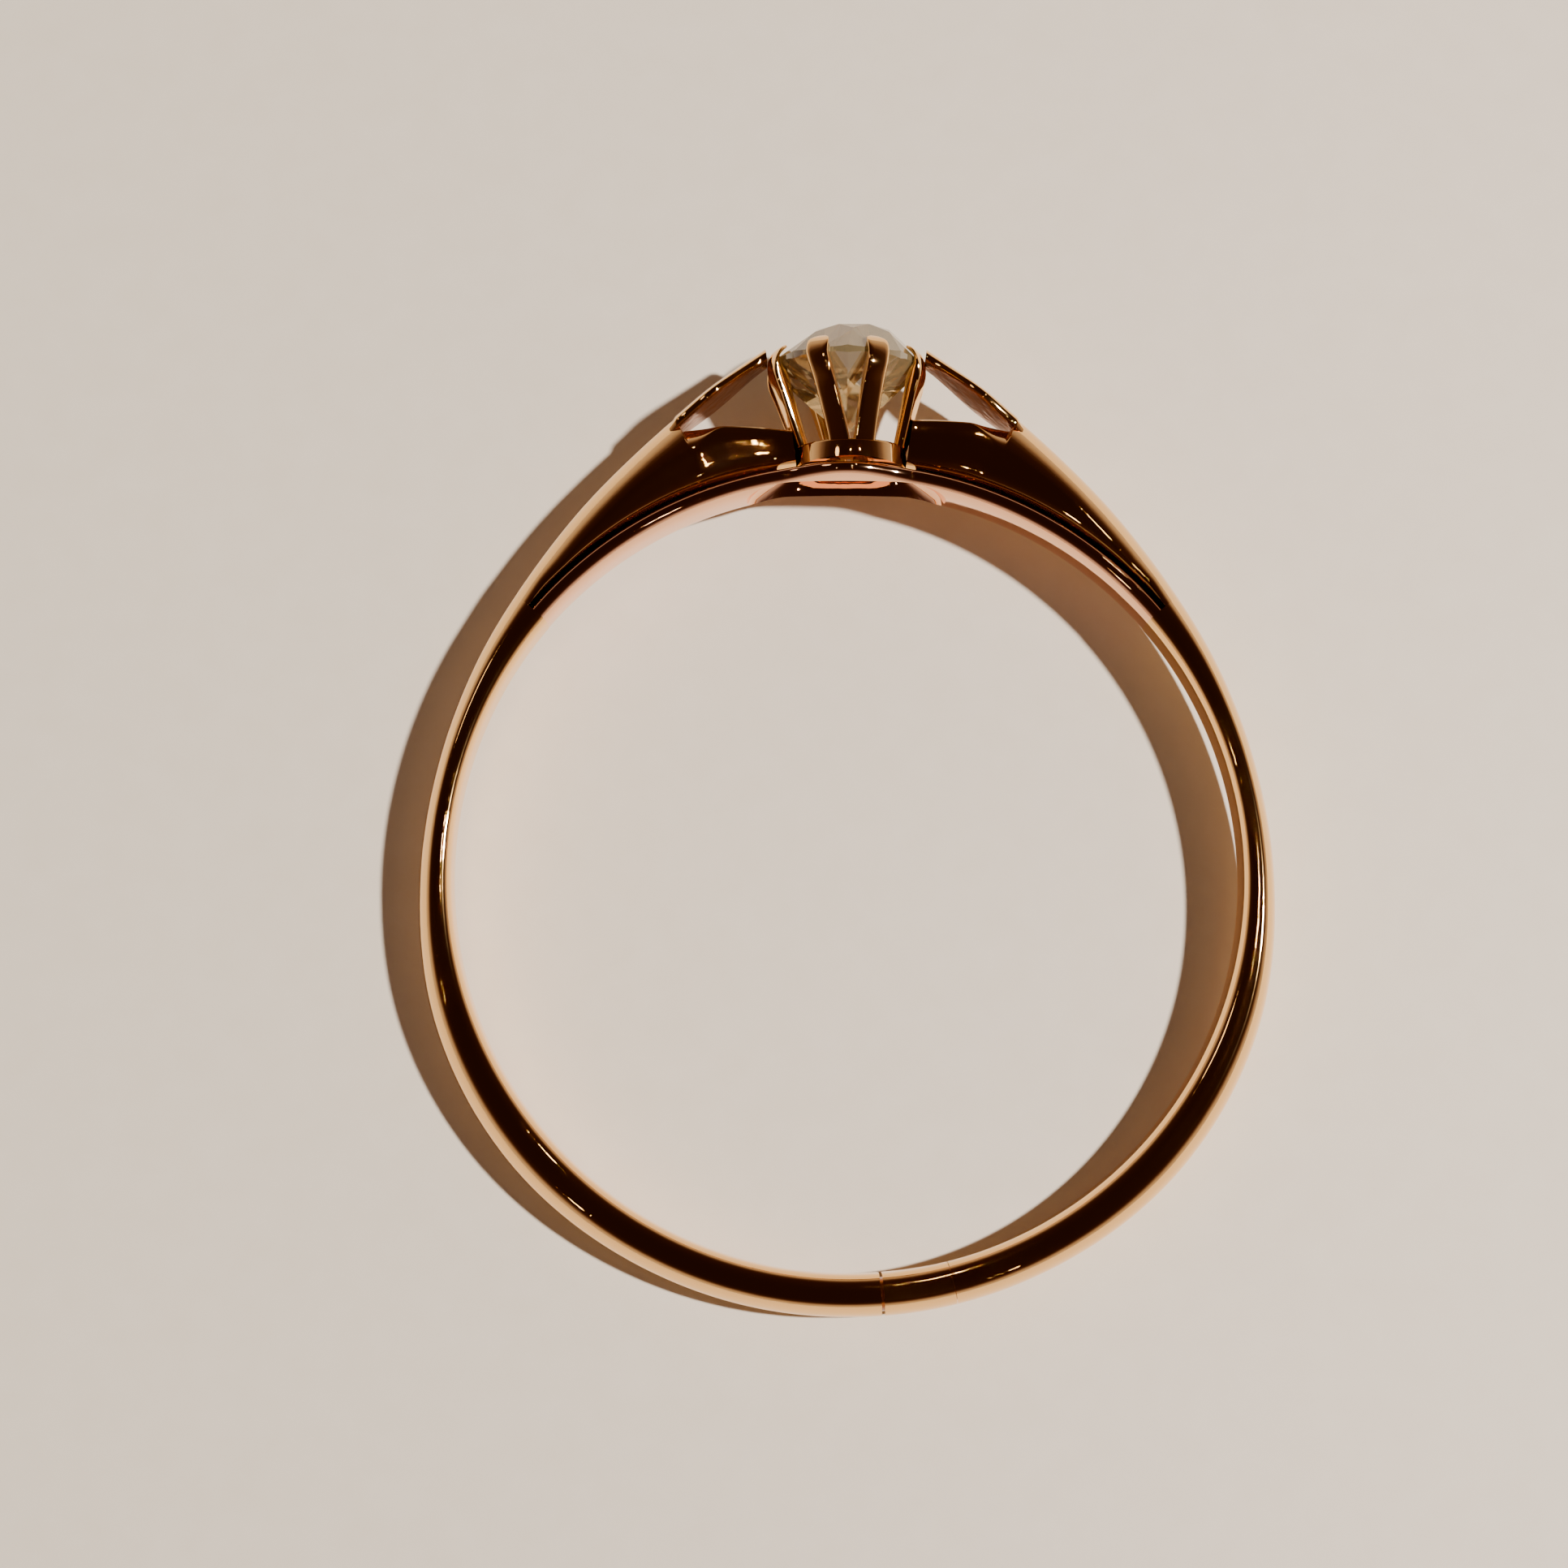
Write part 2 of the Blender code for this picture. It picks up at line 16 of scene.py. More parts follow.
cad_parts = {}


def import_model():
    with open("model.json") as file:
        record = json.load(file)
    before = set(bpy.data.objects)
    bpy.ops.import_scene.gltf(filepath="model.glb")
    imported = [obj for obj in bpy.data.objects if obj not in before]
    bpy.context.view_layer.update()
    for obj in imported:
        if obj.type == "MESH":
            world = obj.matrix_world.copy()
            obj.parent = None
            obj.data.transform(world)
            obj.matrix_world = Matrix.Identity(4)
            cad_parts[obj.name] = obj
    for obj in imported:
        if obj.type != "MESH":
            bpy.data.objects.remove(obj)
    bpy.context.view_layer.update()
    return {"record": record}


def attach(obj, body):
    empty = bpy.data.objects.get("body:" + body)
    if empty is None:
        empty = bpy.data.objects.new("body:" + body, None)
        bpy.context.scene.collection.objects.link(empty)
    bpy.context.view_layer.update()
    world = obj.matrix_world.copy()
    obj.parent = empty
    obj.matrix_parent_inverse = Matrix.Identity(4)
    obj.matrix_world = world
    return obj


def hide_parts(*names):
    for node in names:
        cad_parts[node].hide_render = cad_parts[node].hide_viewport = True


MM = 0.001

# Shank: heights above the finger of its crest and of the edge of its flat side, by angle
HOLE_RADIUS = 8.6
SHANK_WIDTH = 1.4
SEAMS = (165.8, 175.5)
SEAM_GAP = 0.06
SOLDER_DEPTH = 0.10
FORK = 50.0
STATIONS = (
    (8.5, 3.34, 1.80),
    (14.0, 2.80, 1.60),
    (20.7, 2.28, 1.35),
    (27.6, 1.84, 1.10),
    (36.0, 1.44, 0.78),
    (45.0, 1.11, 0.55),
    (60.0, 0.82, 0.41),
    (75.0, 0.70, 0.35),
    (90.0, 0.74, 0.37),
    (110.0, 0.94, 0.50),
    (130.0, 1.02, 0.56),
    (155.0, 0.96, 0.56),
    (180.0, 0.92, 0.56),
)

# Finger rail
RAIL_THICKNESS = 0.48
RAIL_WIDTH = 1.65
RAIL_SWELL = 2.3
RAIL_SWELL_REACH = 1.5
RAIL_SHOULDER = 0.16
SLOT_LENGTH = 4.1
SLOT_LENGTH_AT_TOP = 2.8
SLOT_WIDTH = 1.4
SLOT_FLARE = 0.10

# Shoulders
SHOULDER_WIDTH = 1.5
ARM_WIDTH = 1.2
ARM_HEIGHTS = {"left": 0.88, "right": 1.12}
ARM_CROWN = 0.12
ARM_CROWN_REACH = 0.4
ARM_LEAST_SIDE = 0.1
ARM_BITE = 0.04
CHEEK_HOLLOW = 0.05
WINDOW = 20.5
WINDOW_STEP = 0.3
BRIDGE_THICKNESS = 0.33
BRIDGE_WAIST = 0.84
BRIDGE_WIDTH = 1.6
BRIDGE_TIP_WIDTH = 0.8
BRIDGE_TIP_PAST_STONE = 0.10
BRIDGE_FLAT_SIDE = 0.45
BRIDGE_ROOT = 1.2
BRIDGE_ROOT_DROP = 0.12
BRIDGE_ROOT_SINK = 0.10
BRIDGE_ROOT_NARROWING = 0.15
BRIDGE_WIDEST = 0.4

# Stone
GIRDLE_RADIUS = 1.65
TABLE_RADIUS = 0.85
TABLE_OFFSET = 0.16
CULET_RADIUS = 0.13
CROWN_HEIGHT = 0.74
GIRDLE_THICKNESS = 0.11
PAVILION_DEPTH = 1.36
TABLE_HEIGHT = HOLE_RADIUS + 3.56
CROWN_HALVES_STEEPER = 5.5
PAVILION_HALVES_STEEPER = 2.2
STARS_FLATTER = 15

# Coronet
CLAWS = 8
CLAW_TOP_WIDTH = 0.54
CLAW_FOOT_WIDTH = 0.52
CLAW_FOOT_ANGLE = 13.6
CLAW_THICKNESS = 0.28
CLAW_WALL = 0.15
CLAW_HOLD = 0.20
CLAW_SEAT_DEPTH = 0.18
CLAW_BEND_DEPTH = 0.73
CORONET_FOOT = 1.25
CORONET_WALL = 0.38
CORONET_HEIGHT = 0.40
CORONET_LEAN = 0.10
CORONET_SOFT_EDGE = 0.06
CLEARANCE = 0.02

# Least share of a face's normal that counts as facing a way
FACING = 0.35

RAIL_RADIUS = HOLE_RADIUS + RAIL_THICKNESS
GIRDLE_TOP = TABLE_HEIGHT - CROWN_HEIGHT
GIRDLE_BOTTOM = GIRDLE_TOP - GIRDLE_THICKNESS
CORONET_TOP = RAIL_RADIUS + CORONET_HEIGHT

# Point of the upper flat side that the record gives a place for
MOUNT_ANGLE = 225
MOUNT_ABOVE_FINGER = 0.37

# Camera and light, placed from the middle of the finger hole
CAMERA_PLACE = (-1.90, -5.83, 61.85)
CAMERA_AIM = (-1.38, 2.00, 0.0)
CAMERA_LENS = 65.2
SENSOR = 36.0
LAMP_DISTANCE = 0.40


def linear(code):
    """Linear red, green, blue and alpha of an sRGB hex colour."""
    shares = [int(code[i : i + 2], 16) / 255 for i in (1, 3, 5)]
    return (*[s / 12.92 if s <= 0.04045 else ((s + 0.055) / 1.055) ** 2.4 for s in shares], 1.0)


def add(tree, kind, links=None, **settings):
    """One node, with its settings and whatever feeds or fills each of its inputs."""
    node = tree.nodes.new(kind)
    for name, value in settings.items():
        setattr(node, name, value)
    for name, value in (links or {}).items():
        if isinstance(value, bpy.types.NodeSocket):
            tree.links.new(value, node.inputs[name])
        else:
            node.inputs[name].default_value = value
    return node


def maths(tree, operation, *values, **settings):
    """Output of a maths node fed by the values."""
    return add(tree, "ShaderNodeMath", dict(enumerate(values)), operation=operation, **settings).outputs[0]


# ---------------------------------------------------------------- shape of the ring


def on_curve(x, xs, ys):
    """Value or point at x on the smooth curve through ys, which stand at xs."""
    slopes = np.gradient(ys, xs, axis=0)
    i = min(int(np.searchsorted(xs, x, side="right")) - 1, len(xs) - 2)
    span = xs[i + 1] - xs[i]
    u = (x - xs[i]) / span
    start = (1 + 2 * u) * (1 - u) ** 2 * ys[i] + u * (1 - u) ** 2 * span * slopes[i]
    end = u * u * (3 - 2 * u) * ys[i + 1] + u * u * (u - 1) * span * slopes[i + 1]
    return start + end


def through(angle, column):
    """Height in a station column at an angle from the head."""
    stations = np.array(STATIONS)
    angles = stations[:, 0]
    return float(on_curve(min(max(angle, angles[0]), angles[-1]), angles, stations[:, column]))


def blend(start, end, share):
    """From start to end as share goes from 0 to 1, level at both ends."""
    share = min(max(share, 0.0), 1.0)
    return start + (end - start) * share * share * (3 - 2 * share)


def from_head(angle):
    """Angle from the head, whichever side it is on."""
    angle = abs(angle) % 360
    return min(angle, 360 - angle)


def crest(angle):
    return HOLE_RADIUS + through(from_head(angle), 1)


def wall(angle):
    return HOLE_RADIUS + through(from_head(angle), 2)


def shank_station(angle):
    """Finger surface, edge of the flat side, crest, half width and hollow of the shank."""
    return HOLE_RADIUS, wall(angle), crest(angle), SHANK_WIDTH / 2, 0.0


def solder_station(angle):
    """What shows in a seam: the section of the shank, a little below its surface."""
    half = SHANK_WIDTH / 2 - SOLDER_DEPTH
    return HOLE_RADIUS + SOLDER_DEPTH, wall(angle), crest(angle) - SOLDER_DEPTH, half, 0.0


def rail_station(angle):
    """The rail widens from the shank to the head and swells again where the coronet stands."""
    share = 1 - from_head(angle) / FORK
    width = SHANK_WIDTH + (RAIL_WIDTH - SHANK_WIDTH) * share
    across = HOLE_RADIUS * math.sin(math.radians(from_head(angle)))
    half = blend(RAIL_SWELL, width, across / RAIL_SWELL_REACH) / 2
    return HOLE_RADIUS, RAIL_RADIUS - RAIL_SHOULDER, RAIL_RADIUS, half, 0.0


def bridge_tip():
    """Angle from the head at which the bridges end, just past the stone's edge."""
    return math.degrees(math.atan((GIRDLE_RADIUS + BRIDGE_TIP_PAST_STONE) / GIRDLE_TOP))


def bridge_station(angle):
    """Thin strap over the window, rooted in the dome of the shoulder."""
    angle = from_head(angle)
    share = (WINDOW - angle) / (WINDOW - bridge_tip())
    rooted = max(0.0, (angle - WINDOW) / BRIDGE_ROOT)
    top = crest(angle) - BRIDGE_ROOT_DROP * rooted
    under = crest(min(angle, WINDOW)) - BRIDGE_THICKNESS - BRIDGE_ROOT_SINK * rooted
    width = blend(BRIDGE_WAIST * SHOULDER_WIDTH, BRIDGE_WIDTH, share / BRIDGE_WIDEST)
    half = blend(width, BRIDGE_TIP_WIDTH, (share - BRIDGE_WIDEST) / (1 - BRIDGE_WIDEST)) / 2
    half -= BRIDGE_ROOT_NARROWING * rooted
    return under, under + BRIDGE_FLAT_SIDE * BRIDGE_THICKNESS, top, half, 0.0


def arm_station(angle):
    """Shoulder and lower arm: full height up to the window, then low under it to the coronet."""
    height = ARM_HEIGHTS["left" if angle < 0 else "right"]
    angle = from_head(angle)
    bottom = RAIL_RADIUS + CLEARANCE
    if angle > WINDOW:
        share = (FORK - angle) / (FORK - WINDOW)
        half = blend(SHANK_WIDTH, SHOULDER_WIDTH, share) / 2
        edge = max(wall(angle), bottom + ARM_LEAST_SIDE * min(1.0, 8 * share))
        return bottom, edge, crest(angle), half, CHEEK_HOLLOW * max(share, 0.0)
    inner = math.degrees(math.asin(CORONET_FOOT / (RAIL_RADIUS + height)))
    share = (WINDOW - angle) / (WINDOW - inner)
    floor = crest(WINDOW) - BRIDGE_THICKNESS
    half = blend(SHOULDER_WIDTH, ARM_WIDTH, share) / 2
    top = floor + (RAIL_RADIUS + height - floor) * share
    edge = top - blend(floor - wall(WINDOW), ARM_CROWN, share / ARM_CROWN_REACH)
    top += (crest(WINDOW) - floor) * max(0.0, 1 - (WINDOW - angle) / WINDOW_STEP)
    return bottom, edge, top, half, CHEEK_HOLLOW


# ---------------------------------------------------------------- sweeping round the finger


def sweep_tree():
    """Sweeps a D-section along a path whose points carry the section's own heights."""
    tree = bpy.data.node_groups.new("section swept round the finger", "GeometryNodeTree")
    face = tree.interface
    face.new_socket("Path", in_out="INPUT", socket_type="NodeSocketGeometry")
    face.new_socket("Points Round", in_out="INPUT", socket_type="NodeSocketInt")
    face.new_socket("Dome Fullness", in_out="INPUT", socket_type="NodeSocketFloat")
    face.new_socket("Corner Sharpness", in_out="INPUT", socket_type="NodeSocketFloat")
    face.new_socket("Metal", in_out="INPUT", socket_type="NodeSocketMaterial")
    face.new_socket("Swept", in_out="OUTPUT", socket_type="NodeSocketGeometry")
    given = add(tree, "NodeGroupInput")

    def carried(name):
        return add(tree, "GeometryNodeInputNamedAttribute", {"Name": name}).outputs["Attribute"]

    path = add(tree, "GeometryNodeMeshToCurve", {"Mesh": given.outputs["Path"]})
    circle = add(
        tree,
        "GeometryNodeCurvePrimitiveCircle",
        {"Resolution": given.outputs["Points Round"], "Radius": 1.0},
    )
    place = add(tree, "GeometryNodeInputPosition")
    kept = add(tree, "GeometryNodeCaptureAttribute", domain="POINT")
    kept.capture_items.new("VECTOR", "Round")
    tree.links.new(circle.outputs["Curve"], kept.inputs["Geometry"])
    tree.links.new(place.outputs["Position"], kept.inputs["Round"])
    tube = add(
        tree,
        "GeometryNodeCurveToMesh",
        {
            "Curve": path.outputs["Curve"],
            "Profile Curve": kept.outputs["Geometry"],
            "Fill Caps": True,
        },
    )
    round_at = add(tree, "ShaderNodeSeparateXYZ", {"Vector": kept.outputs["Round"]})
    across, up = round_at.outputs["X"], round_at.outputs["Y"]
    outside = maths(tree, "GREATER_THAN", up, 0.0)
    power = add(
        tree,
        "GeometryNodeSwitch",
        {
            "Switch": outside,
            "False": maths(tree, "DIVIDE", 2.0, given.outputs["Corner Sharpness"]),
            "True": maths(tree, "DIVIDE", 2.0, given.outputs["Dome Fullness"]),
        },
        input_type="FLOAT",
    ).outputs["Output"]
    spread = maths(tree, "POWER", maths(tree, "ABSOLUTE", across), power)
    side = maths(tree, "MULTIPLY", maths(tree, "SIGN", across), spread)
    rise = maths(tree, "POWER", maths(tree, "ABSOLUTE", up), power)
    to_crest = maths(tree, "SUBTRACT", carried("crest"), carried("wall"))
    to_finger = maths(tree, "SUBTRACT", carried("bottom"), carried("wall"))
    reach = add(
        tree,
        "GeometryNodeSwitch",
        {"Switch": outside, "False": to_finger, "True": to_crest},
        input_type="FLOAT",
    ).outputs["Output"]
    radius = maths(tree, "MULTIPLY_ADD", rise, reach, carried("wall"))
    dip = maths(tree, "SINE", maths(tree, "MULTIPLY", rise, math.pi))
    dip = maths(tree, "MULTIPLY", dip, maths(tree, "SUBTRACT", 1.0, outside))
    width = maths(tree, "SUBTRACT", carried("half"), maths(tree, "MULTIPLY", dip, carried("hollow")))
    turn = carried("turn")
    point = add(
        tree,
        "ShaderNodeCombineXYZ",
        {
            "X": maths(tree, "MULTIPLY", radius, maths(tree, "SINE", turn)),
            "Y": maths(tree, "MULTIPLY", radius, maths(tree, "COSINE", turn)),
            "Z": maths(tree, "MULTIPLY", side, width),
        },
    )
    shaped = add(
        tree,
        "GeometryNodeSetPosition",
        {"Geometry": tube.outputs["Mesh"], "Position": point.outputs["Vector"]},
    )
    whole = add(tree, "GeometryNodeRealizeInstances", {"Geometry": shaped.outputs["Geometry"]})
    dressed = add(
        tree,
        "GeometryNodeSetMaterial",
        {"Geometry": whole.outputs["Geometry"], "Material": given.outputs["Metal"]},
    )
    add(tree, "NodeGroupOutput", {"Swept": dressed.outputs["Geometry"]})
    return tree


def grown(obj, tree, values):
    """Turns obj into the plain mesh that the tree makes of it."""
    modifier = obj.modifiers.new(tree.name, "NODES")
    modifier.node_group = tree
    for item in tree.interface.items_tree:
        if item.in_out == "INPUT" and item.name in values:
            modifier[item.identifier] = values[item.name]
    graph = bpy.context.evaluated_depsgraph_get()
    obj.data = bpy.data.meshes.new_from_object(obj.evaluated_get(graph))
    obj.modifiers.remove(modifier)
    return obj


def outward(obj, smooth=32.0):
    """Merges doubles, turns faces out and shades all but the sharp edges smooth."""
    bm = bmesh.new()
    bm.from_mesh(obj.data)
    bmesh.ops.remove_doubles(bm, verts=bm.verts, dist=1e-4)
    bmesh.ops.recalc_face_normals(bm, faces=bm.faces)
    bm.to_mesh(obj.data)
    bm.free()
    obj.data.shade_smooth()
    obj.data.set_sharp_from_angle(angle=math.radians(smooth))
    return obj


def painted_shade_inside(obj, metal, inside):
    """Gives the faces for which inside(middle, normal) holds the dark metal, which is painted shade on
    those faces.
    """
    obj.data.materials.append(metal)
    for face in obj.data.polygons:
        face.material_index = int(inside(face.center, face.normal))
    return obj


def towards_finger(middle, normal):
    """True of the under side of a bridge."""
    return normal.dot(Vector((middle.x, middle.y, 0)).normalized()) < -FACING


def towards_slot(middle, normal):
    """True of the inner wall of the coronet base."""
    inward = Vector((CORONET_LEAN - middle.x, 0, -middle.z)).normalized()
    return normal.dot(inward) > FACING


def linked(name, mesh):
    obj = bpy.data.objects.new(name, mesh)
    bpy.context.scene.collection.objects.link(obj)
    return obj


def swept(tree, name, station, first, last, metal, step=0.5, points=64, dome=1.75, corner=4.0):
    """Piece swept from one angle to another, with the section that station gives at each."""
    count = math.ceil(abs(last - first) / step)
    angles = [first + (last - first) * i / count for i in range(count + 1)]
    mesh = bpy.data.meshes.new(name)
    mesh.from_pydata([(0, 0, a) for a in angles], [(i, i + 1) for i in range(count)], [])
    columns = {"turn": [math.radians(a) for a in angles]}
    heights = [station(a) for a in angles]
    for i, column in enumerate(("bottom", "wall", "crest", "half", "hollow")):
        columns[column] = [row[i] for row in heights]
    for column, values in columns.items():
        mesh.attributes.new(column, "FLOAT", "POINT").data.foreach_set("value", values)
    values = {"Points Round": points, "Dome Fullness": dome, "Corner Sharpness": corner, "Metal": metal}
    return outward(grown(linked(name, mesh), tree, values))


# ---------------------------------------------------------------- other pieces


def loft(name, sections, metal, in_a_ring=False):
    """Closed skin through outlines with the same number of points, in a row or in a ring."""
    bm = bmesh.new()
    rings = [[bm.verts.new(point) for point in section] for section in sections]
    count = len(rings[0])
    following = rings[1:] + rings[:1] if in_a_ring else rings[1:]
    for first, second in zip(rings, following):
        for i in range(count):
            j = (i + 1) % count
            bm.faces.new((first[i], first[j], second[j], second[i]))
    if not in_a_ring:
        bm.faces.new(rings[0][::-1])
        bm.faces.new(rings[-1])
    mesh = bpy.data.meshes.new(name)
    bm.to_mesh(mesh)
    bm.free()
    mesh.materials.append(metal)
    return outward(linked(name, mesh))


def cut(obj, tool):
    """Cuts the tool's shape out of obj and drops the tool."""
    boolean = obj.modifiers.new("cut", "BOOLEAN")
    boolean.operation = "DIFFERENCE"
    boolean.solver = "EXACT"
    boolean.object = tool
    graph = bpy.context.evaluated_depsgraph_get()
    obj.data = bpy.data.meshes.new_from_object(obj.evaluated_get(graph))
    obj.modifiers.remove(boolean)
    bpy.data.objects.remove(tool)
    return outward(obj)


def light_slot(metal):
    """Slot with round corners, shorter on top than at the finger, with a softened mouth."""
    sections = []
    for height, length, flare in (
        (HOLE_RADIUS - 0.6, SLOT_LENGTH, SLOT_FLARE * 2.4),
        (HOLE_RADIUS - 0.10, SLOT_LENGTH, SLOT_FLARE),
        (HOLE_RADIUS + 0.06, SLOT_LENGTH - 0.15, 0.02),
        (RAIL_RADIUS - 0.05, SLOT_LENGTH_AT_TOP, 0.0),
        (RAIL_RADIUS + 1.0, SLOT_LENGTH_AT_TOP, 0.0),
    ):
        outline = []
        for i in range(64):
            turn = math.tau * i / 64
            c, s = math.cos(turn), math.sin(turn)
            x = (length / 2 + flare) * math.copysign(abs(c) ** 0.5, c)
            z = (SLOT_WIDTH / 2 + flare) * math.copysign(abs(s) ** 0.5, s)
            outline.append(Vector((x, height, z)))
        sections.append(outline)
    return loft("slot_tool", sections, metal)


def claw_path():
    """Inner and outer points of a claw in its own radial plane, from its foot to its tip."""
    foot = CORONET_TOP - 0.04
    clear = 1.5 * CLEARANCE
    crown_slope = CROWN_HEIGHT / (GIRDLE_RADIUS - TABLE_RADIUS)
    pavilion_slope = PAVILION_DEPTH / (GIRDLE_RADIUS - CULET_RADIUS)
    inside = GIRDLE_RADIUS + clear
    outside = inside + CLAW_WALL
    seat = inside - CLAW_SEAT_DEPTH / pavilion_slope + clear
    bend = CLAW_BEND_DEPTH - CLAW_SEAT_DEPTH
    lean = (outside - CORONET_FOOT) / (GIRDLE_BOTTOM - CLAW_SEAT_DEPTH - foot)
    tip = GIRDLE_RADIUS - CLAW_HOLD
    over = GIRDLE_TOP + clear * 1.5
    inner = [
        (CORONET_FOOT - CLAW_THICKNESS, foot),
        (seat - bend * lean, GIRDLE_BOTTOM - CLAW_BEND_DEPTH),
        (seat, GIRDLE_BOTTOM - CLAW_SEAT_DEPTH),
        (inside, GIRDLE_BOTTOM),
        (inside, GIRDLE_TOP),
        (inside - CLAW_HOLD / 2, over + CLAW_HOLD / 2 * crown_slope),
        (tip, over + CLAW_HOLD * crown_slope),
    ]
    outer = [
        (CORONET_FOOT, foot),
        (outside - bend * lean, GIRDLE_BOTTOM - CLAW_BEND_DEPTH),
        (outside, GIRDLE_BOTTOM - CLAW_SEAT_DEPTH),
        (outside - 0.01, GIRDLE_BOTTOM),
        (outside - 0.04, GIRDLE_TOP),
        (outside - 0.13, GIRDLE_TOP + 0.17),
        (tip + 0.06, over + CLAW_HOLD * crown_slope + 0.10),
    ]
    return inner, outer


def spaced(points, count):
    """Points spread evenly along a smooth curve through the given ones."""
    points = np.array(points)
    at = np.concatenate([[0], np.cumsum(np.linalg.norm(np.diff(points, axis=0), axis=1))])
    return [on_curve(x, at, points) for x in np.linspace(0, at[-1], count)]


def one_claw(metal):
    """One claw: flat outside with rounded corners, its tip folded over the edge of the stone."""
    inner, outer = (spaced(points, 33) for points in claw_path())
    foot, top = outer[0][1], outer[-1][1]
    sections = []
    for k, (low, high) in enumerate(zip(inner, outer)):
        share = (high[1] - foot) / (top - foot)
        half = blend(CLAW_FOOT_WIDTH, CLAW_TOP_WIDTH, share) / 2
        closing = max(0.0, (k - 28) / 4)
        half *= math.sqrt(1 - 0.8 * closing**2)
        middle, across = (low + high) / 2, (high - low) / 2
        across *= math.sqrt(1 - 0.7 * closing**2)
        outline = []
        for i in range(28):
            turn = math.tau * i / 28
            c, s = math.cos(turn), math.sin(turn)
            point = middle + across * math.copysign(abs(c) ** 0.5, c)
            side = half * (1 + 0.1 * c) / 1.1 * math.copysign(abs(s) ** 0.5, s)
            outline.append(Vector((point[0], point[1], side)))
        sections.append(outline)
    return loft("claw", sections, metal)


def claw_tree():
    """Stands copies of one claw round the stone, closes their feet in pairs and leans the feet aside."""
    tree = bpy.data.node_groups.new("claws round the stone", "GeometryNodeTree")
    face = tree.interface
    face.new_socket("Claw", in_out="INPUT", socket_type="NodeSocketGeometry")
    for name in ("Foot Height", "Girdle Height", "Foot Angle", "Lean"):
        face.new_socket(name, in_out="INPUT", socket_type="NodeSocketFloat")
    face.new_socket("Count", in_out="INPUT", socket_type="NodeSocketInt")
    face.new_socket("Metal", in_out="INPUT", socket_type="NodeSocketMaterial")
    face.new_socket("Claws", in_out="OUTPUT", socket_type="NodeSocketGeometry")
    given = add(tree, "NodeGroupInput")

    stands = add(tree, "GeometryNodeMeshLine", {"Count": given.outputs["Count"], "Offset": (0, 0, 0)})
    index = add(tree, "GeometryNodeInputIndex").outputs["Index"]
    part = maths(tree, "DIVIDE", math.tau, given.outputs["Count"])
    turn = maths(tree, "MULTIPLY", maths(tree, "ADD", index, 0.5), part)
    odd = maths(tree, "MODULO", index, 2.0)
    sided = add(
        tree,
        "GeometryNodeStoreNamedAttribute",
        {
            "Geometry": stands.outputs["Mesh"],
            "Name": "side of its pair",
            "Value": maths(tree, "MULTIPLY_ADD", odd, -2.0, 1.0),
        },
        data_type="FLOAT",
        domain="POINT",
    )
    euler = add(tree, "ShaderNodeCombineXYZ", {"Y": turn})
    rotation = add(tree, "FunctionNodeEulerToRotation", {"Euler": euler.outputs["Vector"]})
    copies = add(
        tree,
        "GeometryNodeInstanceOnPoints",
        {
            "Points": sided.outputs["Geometry"],
            "Instance": given.outputs["Claw"],
            "Rotation": rotation.outputs["Rotation"],
        },
    )
    whole = add(tree, "GeometryNodeRealizeInstances", {"Geometry": copies.outputs["Instances"]})
    place = add(tree, "GeometryNodeInputPosition").outputs["Position"]
    height = add(tree, "ShaderNodeSeparateXYZ", {"Vector": place}).outputs["Y"]
    drop = maths(tree, "SUBTRACT", given.outputs["Girdle Height"], height)
    reach = maths(tree, "SUBTRACT", given.outputs["Girdle Height"], given.outputs["Foot Height"])
    share = maths(tree, "DIVIDE", drop, reach, use_clamp=True)
    side = add(tree, "GeometryNodeInputNamedAttribute", {"Name": "side of its pair"}).outputs["Attribute"]
    closing = maths(tree, "SUBTRACT", given.outputs["Foot Angle"], maths(tree, "DIVIDE", part, 2.0))
    closed = add(
        tree,
        "ShaderNodeVectorRotate",
        {
            "Vector": place,
            "Angle": maths(tree, "MULTIPLY", maths(tree, "MULTIPLY", side, share), closing),
        },
        rotation_type="Y_AXIS",
    )
    aside = add(tree, "ShaderNodeCombineXYZ", {"X": maths(tree, "MULTIPLY", share, given.outputs["Lean"])})
    leaned = add(
        tree,
        "GeometryNodeSetPosition",
        {
            "Geometry": whole.outputs["Geometry"],
            "Position": closed.outputs["Vector"],
            "Offset": aside.outputs["Vector"],
        },
    )
    dressed = add(
        tree,
        "GeometryNodeSetMaterial",
        {"Geometry": leaned.outputs["Geometry"], "Material": given.outputs["Metal"]},
    )
    add(tree, "NodeGroupOutput", {"Claws": dressed.outputs["Geometry"]})
    return tree


def coronet_base(metal):
    """Short tube under the claws, with soft edges, hollowed to sit on the rail."""
    inner = CORONET_FOOT - CORONET_WALL
    soft = CORONET_SOFT_EDGE
    sections = []
    for i in range(96):
        turn = math.tau * i / 96
        corners = []
        for reach in (inner, CORONET_FOOT):
            across = reach * math.cos(turn) + CORONET_LEAN
            corners.append((reach, math.sqrt(RAIL_RADIUS**2 - across**2)))
        for k in range(5):
            a = math.radians(22.5 * k)
            reach = CORONET_FOOT - soft + soft * math.cos(a)
            corners.append((reach, CORONET_TOP - soft + soft * math.sin(a)))
        for k in range(5):
            a = math.radians(90 + 22.5 * k)
            corners.append((inner + soft + soft * math.cos(a), CORONET_TOP - soft + soft * math.sin(a)))
        sections.append(
            [Vector((r * math.cos(turn) + CORONET_LEAN, h, r * math.sin(turn))) for r, h in corners]
        )
    return loft("coronet_seat", sections, metal, in_a_ring=True)


